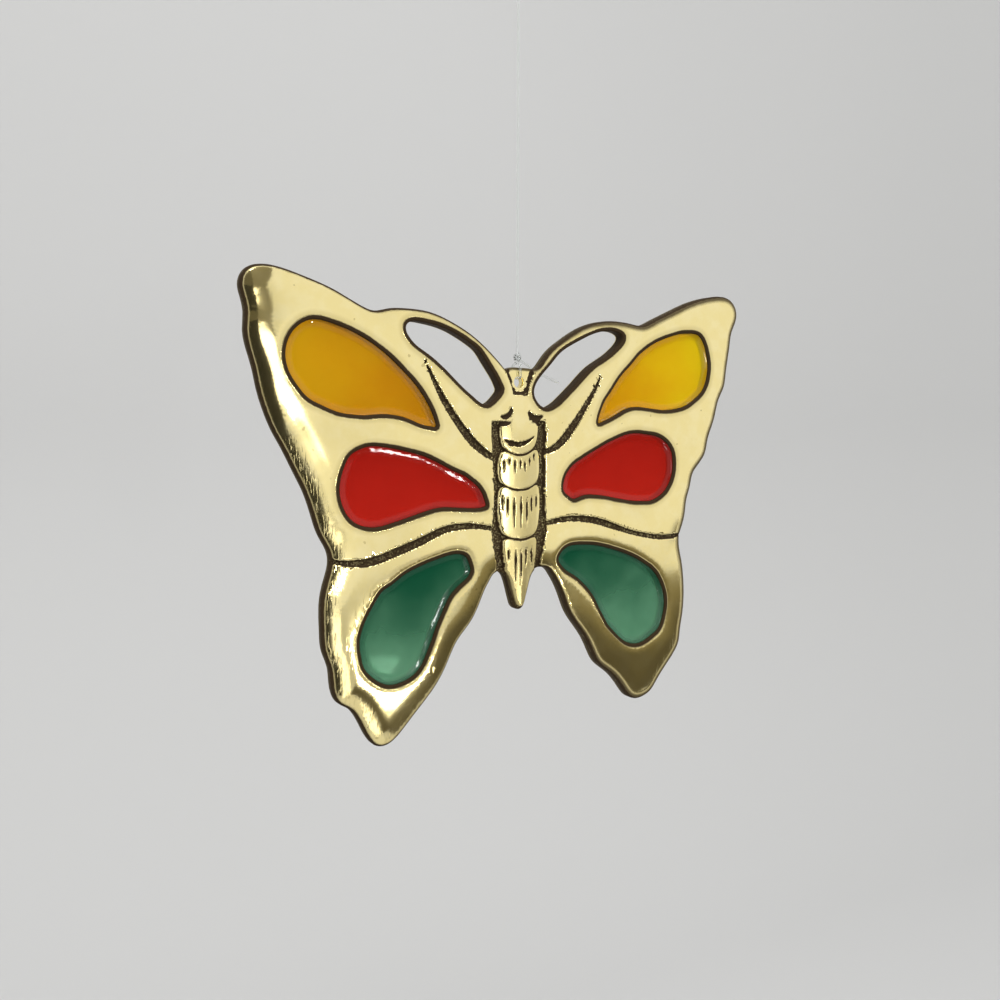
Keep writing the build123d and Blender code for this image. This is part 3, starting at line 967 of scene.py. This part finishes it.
            # On a rounded edge, which keeps its round and only sinks with the relief beside it.
            depth = vert.co.y
            outline = self.outlines[vert[self.mesh.which]]
            inner = (self.outer_round if vert[self.mesh.which] == 0 else self.hole_round) + self.ring_inset
            probe = self._height(*outline.at(vert[self.mesh.place], inner), self.ray_reach)
            if probe is not None and probe > self.front + self.ring_relief:
                depth = max(depth, probe)
        else:
            probe = self._height(x, z, self.ray_reach)
            depth = vert.co.y if probe is None else probe
        fall = self.rim_fall * max(0.0, 1.0 - rim / self.rim_reach) ** 2
        worn = self._worn(z - self.hole.z)
        worn_gap = self._gap(self.worn_rim, x, z)
        fall += self.worn_fall * worn * max(0.0, 1.0 - worn_gap / (self.worn_reach * worn)) ** 2
        fall += self.cell_fall * max(0.0, 1.0 - holes / self.cell_reach) ** 2
        swell = self.swell * noise.noise(Vector((x, z, 3.0)) / self.swell_width)
        from_eye = max(0.0, math.hypot(x - self.hole.x, z - self.hole.z) - self.tab_reach)
        vert.co.y = depth + fall + swell * min(1.0, rim / 2.0, from_eye / self.tab_reach)

    @staticmethod
    def _worn(up: float) -> float:
        """How much of the full wear a height has: most in the middle of the left wing.

        Args:
            up: Height from the tab hole.

        Returns:
            The share.
        """
        tip_loss, tip_height = 0.5, 9.0
        tail_loss, tail_top, tail_length = 0.4, -24.0, 12.0
        tip = 1.0 - tip_loss * min(1.0, max(0.0, up / tip_height))
        tail = 1.0 - tail_loss * min(1.0, max(0.0, (tail_top - up) / tail_length))
        return tip * tail

    def _attributes(self) -> None:
        """Writes at each point how far the walls are and how deep it lies among its surroundings."""
        bm = self.mesh.bm
        hollow = bm.verts.layers.float.new("hollow")
        hole_gap = bm.verts.layers.float.new("hole_gap")
        rim_gap = bm.verts.layers.float.new("rim_gap")
        for vert in bm.verts:
            x, y, z = vert.co
            vert[rim_gap] = self._gap(self.rim, x, z)
            vert[hole_gap] = self._gap(self.holes, x, z)
            if y > self.section:
                vert[hole_gap] += self.back_hole_gap
                continue
            here = self._height(x, z, self.fine_reach)
            if here is not None:
                floor = max(0.0, here - self.front - self._allowed(x, z))
                vert[hollow] = max(floor, *(self._cavity(x, z, here, reach) for reach in self.hollow_reaches))
        recess = bm.verts.layers.float.new("recess")
        for vert in bm.verts:
            vert[recess] = min(vert[hollow], self.recess_depth)
        for _ in range(2):
            rings = {vert: [edge.other_vert(vert)[recess] for edge in vert.link_edges] for vert in bm.verts}
            for vert, ring in rings.items():
                vert[recess] = vert[recess] / 2 + sum(ring) / len(ring) / 2

    def _front_depth(self, x: float, z: float) -> float | None:
        """The solid's front depth at one place, or None over a hole."""
        hit = self.tree.ray_cast(Vector((x, self.ray_start, z)), Vector((0, 1, 0)), self.ray_length)[0]
        return hit.y if hit is not None and hit.y < self.section else None

    def _cavity(self, x: float, z: float, here: float, reach: float) -> float:
        """How far the front lies behind the line between two opposite places.

        Args:
            x: Place across.
            z: Height.
            here: The front's depth there.
            reach: How far away the opposite places are.

        Returns:
            The depth for the pair of places where it is largest.
        """
        deepest = 0.0
        for right, up in self._spots(reach, 4):
            pair = self._front_depth(x + right, z + up), self._front_depth(x - right, z - up)
            if None not in pair:
                deepest = max(deepest, here - sum(pair) / 2)
        return deepest

    def _allowed(self, x: float, z: float) -> float:
        """How far the front may lie below the plain face and still be polished.

        Args:
            x: Place across.
            z: Height.

        Returns:
            The depth: more on the body's crown, and any depth on the tab.
        """
        tab_half_width, tab_foot = 3.7, -2.2
        body_half_width, body_top = 5.4, -7.3
        crown, plain = 0.45, 0.04
        up = z - self.hole.z
        if abs(x) < tab_half_width and up > tab_foot:
            return self.back
        return crown if abs(x) < body_half_width and up < body_top else plain


@dataclass
class ResinPane:
    """One poured pane with a hollow top that climbs the cell's wall.

    Sizes are in millimetres, and lit is the direction, across and up, in which painted light makes the resin
    lighter.
    """

    node: str
    finish: bpy.types.Material
    resin: Resin
    outline_step: float = 0.4
    face_step: float = 0.4
    section: float = 0.6
    overlap: float = 0.03
    rings: tuple[float, ...] = (0.12, 0.28)
    climb: float = 0.04
    climb_reach: float = 0.25
    slope: float = 0.15
    slope_reach: float = 0.7
    dish_reach: float = 1.8
    wall_recess: float = 0.35
    lit: Point = (0.0, -1.0)

    def build(self) -> bpy.types.Object:
        """Models the pane over its solid.

        Returns:
            The object.
        """
        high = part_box(self.node)[1] / MM
        front = -high.y + self.wall_recess
        back = high.y - self.overlap
        outline = Outline(cut_outlines(node_copy(self.node), self.section)[0], self.outline_step, True)
        tree = tree_of(outline.points)
        mesh = WalledMesh()
        ring = mesh.first_ring(outline, 0, self.section)
        insets = (-self.overlap, *self.rings)
        front_ring = mesh.wall(outline, ring, [(inset, front) for inset in insets])
        back_ring = mesh.wall(outline, ring, [(-self.overlap, back)])
        mesh.slice(mesh.fill(front_ring, -1.0), self.face_step)
        mesh.fill(back_ring, 1.0)
        gaps = mesh.bm.verts.layers.float.new("gap")
        painted_light_shares = mesh.bm.verts.layers.float.new("share")
        # Painted light: each point's share along the lit direction, which the finish paints lighter.
        reaches = [x * self.lit[0] + z * self.lit[1] for x, z in outline.points]
        nearest, farthest = min(reaches), max(reaches)
        for vert in mesh.bm.verts:
            gap = max(0.0, tree.find((vert.co.x, 0.0, vert.co.z))[2] - self.overlap)
            reach = vert.co.x * self.lit[0] + vert.co.z * self.lit[1]
            vert[gaps], vert[painted_light_shares] = gap, (reach - nearest) / (farthest - nearest)
            if vert.co.y < 0:
                vert.co.y += self._sunk(gap)
        bmesh.ops.triangulate(mesh.bm, faces=mesh.bm.faces)
        bmesh.ops.recalc_face_normals(mesh.bm, faces=mesh.bm.faces)
        mesh.sharpen(back)
        piece = object_from(mesh.bm, f"poured_{self.node}", self.finish)
        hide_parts(self.node)
        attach(piece, Body.BUTTERFLY.value)
        return piece

    def _sunk(self, gap: float) -> float:
        """How far the resin's top lies below its edge.

        Args:
            gap: Distance from the cell's wall.

        Returns:
            The depth: a quick fall at the wall, then a cone that turns into a flat middle.
        """
        meniscus = self.climb * (1.0 - max(0.0, 1.0 - gap / self.climb_reach) ** 2)
        reach = min(gap, self.dish_reach)
        bend = max(0.0, reach - self.slope_reach) ** 2 / (self.dish_reach - self.slope_reach) / 2
        return meniscus + self.slope * (reach - bend)


@dataclass
class NylonLine:
    """The clear line: its straight run, knots, eye and loop. Sizes are in millimetres."""

    bore: float = 0.5
    run_foot: float = -83.6
    run_top: float = -16.6
    knot_middle: float = 0.8
    knot_height: float = 1.05
    wrap_turns: int = 3
    wrap_steps: int = 10
    wrap_reach: float = 0.5
    tightest: float = 0.55
    cut_end: tuple[Place, ...] = (
        (0.0, 0.3, -84.4), (2.1, 1.9, -85.0), (7.0, 2.9, -87.6), (11.0, 3.3, -88.8),
    )
    finish: ClearNylon = field(default_factory=ClearNylon)

    def build(self) -> None:
        """Makes the line's pieces and dresses the solids that stay."""
        material = self.finish.material()
        kept = ("hanging_loop", "line_eye")
        for node in kept:
            solid = FRAME["nodes"][node]
            solid.data.materials.clear()
            solid.data.materials.append(material)
        straight = self._tube("straight_line", [(0, 0, self.run_foot), (0, 0, self.run_top)], material)
        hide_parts("hanging_line")
        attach(straight, Body.LINE.value)
        upper = self._knot("upper_wraps", self.run_top + self.knot_middle, material)
        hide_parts("upper_knot")
        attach(upper, Body.LINE.value)
        lower = self._knot("lower_wraps", self.run_foot - self.knot_middle, material)
        tail = self._tube("cut_end", self.cut_end, material)
        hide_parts("lower_knot")
        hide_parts("lower_knot")
        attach(lower, Body.EYE.value)
        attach(tail, Body.EYE.value)

    def _tube(self, name: str, points: Sequence[Place], material: bpy.types.Material) -> bpy.types.Object:
        """A stretch of the line on a smooth spline.

        Args:
            name: The object's name.
            points: The spline's control points, in millimetres.
            material: The line's finish.

        Returns:
            The stretch.
        """
        curve = bpy.data.curves.new(name, "CURVE")
        curve.dimensions = "3D"
        curve.bevel_depth = self.bore / 2 * MM
        curve.bevel_resolution = 4
        curve.resolution_u = 10
        curve.use_fill_caps = True
        spline = curve.splines.new("NURBS")
        spline.points.add(len(points) - 1)
        for target, point in zip(spline.points, points):
            target.co = (*(c * MM for c in point), 1.0)
        spline.order_u = min(3, len(points))
        spline.use_endpoint_u = True
        made = bpy.data.objects.new(name, curve)
        bpy.context.scene.collection.objects.link(made)
        made.data.materials.append(material)
        return made

    def _knot(self, name: str, middle: float, material: bpy.types.Material) -> bpy.types.Object:
        """Wraps of the line round itself.

        Args:
            name: The object's name.
            middle: Height of the knot's middle.
            material: The line's finish.

        Returns:
            The knot.
        """
        steps = self.wrap_turns * self.wrap_steps
        wraps = []
        for k in range(steps + 1):
            share = k / steps
            angle = math.tau * self.wrap_turns * share
            fullness = math.sin(math.pi * share) ** 0.5
            radius = self.wrap_reach * (self.tightest + (1.0 - self.tightest) * fullness)
            height = middle + (share - 0.5) * self.knot_height
            wraps.append((radius * math.cos(angle), radius * math.sin(angle), height))
        return self._tube(name, wraps, material)


@dataclass
class Studio:
    """The pale room, its lights and the camera. Sizes are in millimetres."""

    camera_place: Place = (-97.71, -165.14, -93.94)
    camera_ahead: Place = (0.49340, 0.86560, -0.08543)
    camera_up: Place = (0.04087, 0.07504, 0.99634)
    lens: float = 37.8
    sensor: float = 36.0
    aim: Place = (0, 0, -110)
    wall_colour: Colour = (0.60, 0.60, 0.602)
    wall_drift: float = 1.06
    matt: float = 0.9
    sky: Colour = (0.96, 0.96, 0.94)
    sky_strength: float = 0.95
    daylight: Colour = (1.0, 0.99, 0.96)
    white: Colour = (1.0, 1.0, 1.0)
    flag_depth: float = -520.0
    flag_change: Point = (-312.0, -236.0)

    def build(self) -> None:
        """Makes the room, the lights and the camera."""
        self._camera()
        self._room()
        self._card("low_lamp", (188, -500, -278), (24, 24), 0.11, self.daylight)
        self._card("near_lamp", (8, -500, -125), (24, 44), 0.15, self.daylight)
        self._card("window", (12, -500, -100), (150, 90), 0.085, self.daylight)
        self._card("low_window", (8, -500, -320), (110, 190), 0.08, self.daylight)
        self._card("top_card", (0, -420, 480), (700, 500), 4.0, self.white)
        low = ((0, -520), (640, -520), (640, -228), (333, -228), (140, -282))
        tip = ((-62, -88), (34, -80), (119, -48), (119, 420), (-62, 420))
        high_side = ((-340, -40), (-62, -40), (-62, 300), (-340, 300))
        side = ((-340, -480), (-62, -480), (-62, -40), (-340, -40))
        self._flag("low_flag", low, (0.12, 0.105, 0.07), (0.34, 0.30, 0.185))
        self._flag("tip_flag", tip, (0.26, 0.242, 0.19))
        self._flag("high_side_flag", high_side, (0.14, 0.128, 0.095))
        self._flag("side_flag", side, (0.03, 0.028, 0.022))
        world = bpy.data.worlds.new("pale_room")
        world.use_nodes = True
        sky = world.node_tree.nodes["Background"]
        sky.inputs["Color"].default_value = (*self.sky, 1.0)
        sky.inputs["Strength"].default_value = self.sky_strength
        bpy.context.scene.world = world
        bpy.context.scene.view_settings.view_transform = "Standard"

    def _camera(self) -> None:
        """Stands the camera where the photograph was taken."""
        data = bpy.data.cameras.new("camera")
        data.lens = self.lens
        data.sensor_width = self.sensor
        data.clip_start = 0.005
        data.clip_end = 20.0
        camera = bpy.data.objects.new("camera", data)
        ahead, up = Vector(self.camera_ahead), Vector(self.camera_up)
        right = ahead.cross(up).normalized()
        up = right.cross(ahead)
        turn = Matrix((right, up, -ahead)).transposed().to_4x4()
        camera.matrix_world = Matrix.Translation(Vector(self.camera_place) * MM) @ turn
        bpy.context.scene.collection.objects.link(camera)
        bpy.context.scene.camera = camera

    def _room(self) -> None:
        """Sweeps the floor up into a wall behind the ornament."""
        floor, wall, reach, bend, segments = -420.0, 620.0, 1600.0, 320.0, 24
        bm = bmesh.new()
        start = bm.verts.new((-reach, -reach, floor))
        turn_foot = bm.verts.new((-reach, wall - bend, floor))
        bm.edges.new((start, turn_foot))
        bmesh.ops.spin(
            bm, geom=[turn_foot], cent=(-reach, wall - bend, floor + bend), axis=(1, 0, 0), angle=math.pi / 2,
            steps=segments,
        )
        top = max(bm.verts, key=lambda v: (v.co.z, v.co.y))
        bm.edges.new((top, bm.verts.new((-reach, wall, reach))))
        swept = bmesh.ops.extrude_edge_only(bm, edges=bm.edges[:])["geom"]
        moved = [v for v in swept if isinstance(v, bmesh.types.BMVert)]
        bmesh.ops.translate(bm, vec=(2 * reach, 0, 0), verts=moved)
        shader = Shader("pale_wall")
        drift = shader.noise(1.6, 1.0)
        colour = shader.mix(self.wall_colour, tuple(c * self.wall_drift for c in self.wall_colour), drift)
        room = object_from(bm, "pale_room", shader.finish({"Base Color": colour, "Roughness": self.matt}))

    def _card(self, name: str, place: Place, size: Point, power: float, colour: Colour) -> None:
        """Hangs a soft light that faces the ornament.

        Args:
            name: The light's name.
            place: Its middle, in millimetres.
            size: Its width and height, in millimetres.
            power: Its power in watts.
            colour: Its colour.
        """
        data = bpy.data.lights.new(name, "AREA")
        data.shape = "RECTANGLE"
        data.size, data.size_y = (c * MM for c in size)
        data.energy = power
        data.color = colour
        light = bpy.data.objects.new(name, data)
        light.matrix_world = self._facing(place)
        light.visible_camera = False
        bpy.context.scene.collection.objects.link(light)

    def _flag(
        self, name: str, corners: Sequence[Point], colour: Colour, top: Colour | None = None
    ) -> None:
        """Stands a dark flag in front of the ornament, for the brass to mirror.

        Args:
            name: The flag's name.
            corners: Its corners' places across and heights, in millimetres.
            colour: Its colour, low down where it has another on top.
            top: Its colour higher up.
        """
        bm = bmesh.new()
        bm.faces.new([bm.verts.new((x, self.flag_depth, z)) for x, z in corners])
        shader = Shader(name)
        height = shader.places(Vector())[2]
        paint = shader.mix(colour, top or colour, height.rising(*self.flag_change))
        flag = object_from(bm, name, shader.finish({"Base Color": paint, "Roughness": self.matt}))
        flag.visible_camera = False

    def _facing(self, place: Place) -> Matrix:
        """The place and turn of a light that faces the ornament."""
        ahead = Vector(self.aim) - Vector(place)
        return Matrix.Translation(Vector(place) * MM) @ ahead.to_track_quat("-Z", "Y").to_matrix().to_4x4()


def main() -> None:
    """Builds the ornament and the studio."""
    logging.basicConfig(level=logging.INFO, format="%(relativeCreated)d %(name)s: %(message)s")
    FRAME.update(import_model())
    Studio().build()
    NylonLine().build()
    BrassCasting().build()
    orange = PouredResin(Resin.AMBER, (0.66, 0.285, 0.006), (0.75, 0.43, 0.009)).material()
    yellow = PouredResin(Resin.AMBER, (0.76, 0.37, 0.006), (0.90, 0.67, 0.010)).material()
    red = PouredResin(Resin.RED, (0.49, 0.016, 0.009), (0.59, 0.022, 0.012)).material()
    green = PouredResin(Resin.GREEN, (0.010, 0.105, 0.050), (0.16, 0.39, 0.23)).material()
    panes = [
        ResinPane("amber_pane_left", orange, Resin.AMBER, slope=0.25, slope_reach=0.5, lit=(-1.0, 0.0)),
        ResinPane("amber_pane_right", yellow, Resin.AMBER, slope=0.34, slope_reach=0.5, lit=(1.0, 0.3)),
        ResinPane("red_pane_left", red, Resin.RED, dish_reach=3.2),
        ResinPane("red_pane_right", red, Resin.RED, slope=0.275, slope_reach=0.5),
        ResinPane("green_pane_left", green, Resin.GREEN, slope=0.255, slope_reach=0.6, lit=(0.2, -1.0)),
        ResinPane("green_pane_right", green, Resin.GREEN, slope=0.26, lit=(0.3, -1.0)),
    ]
    for pane in panes:
        piece = pane.build()
        LOG.info("pane %s: %d points", piece.name, len(piece.data.vertices))


if __name__ == "__main__":
    main()
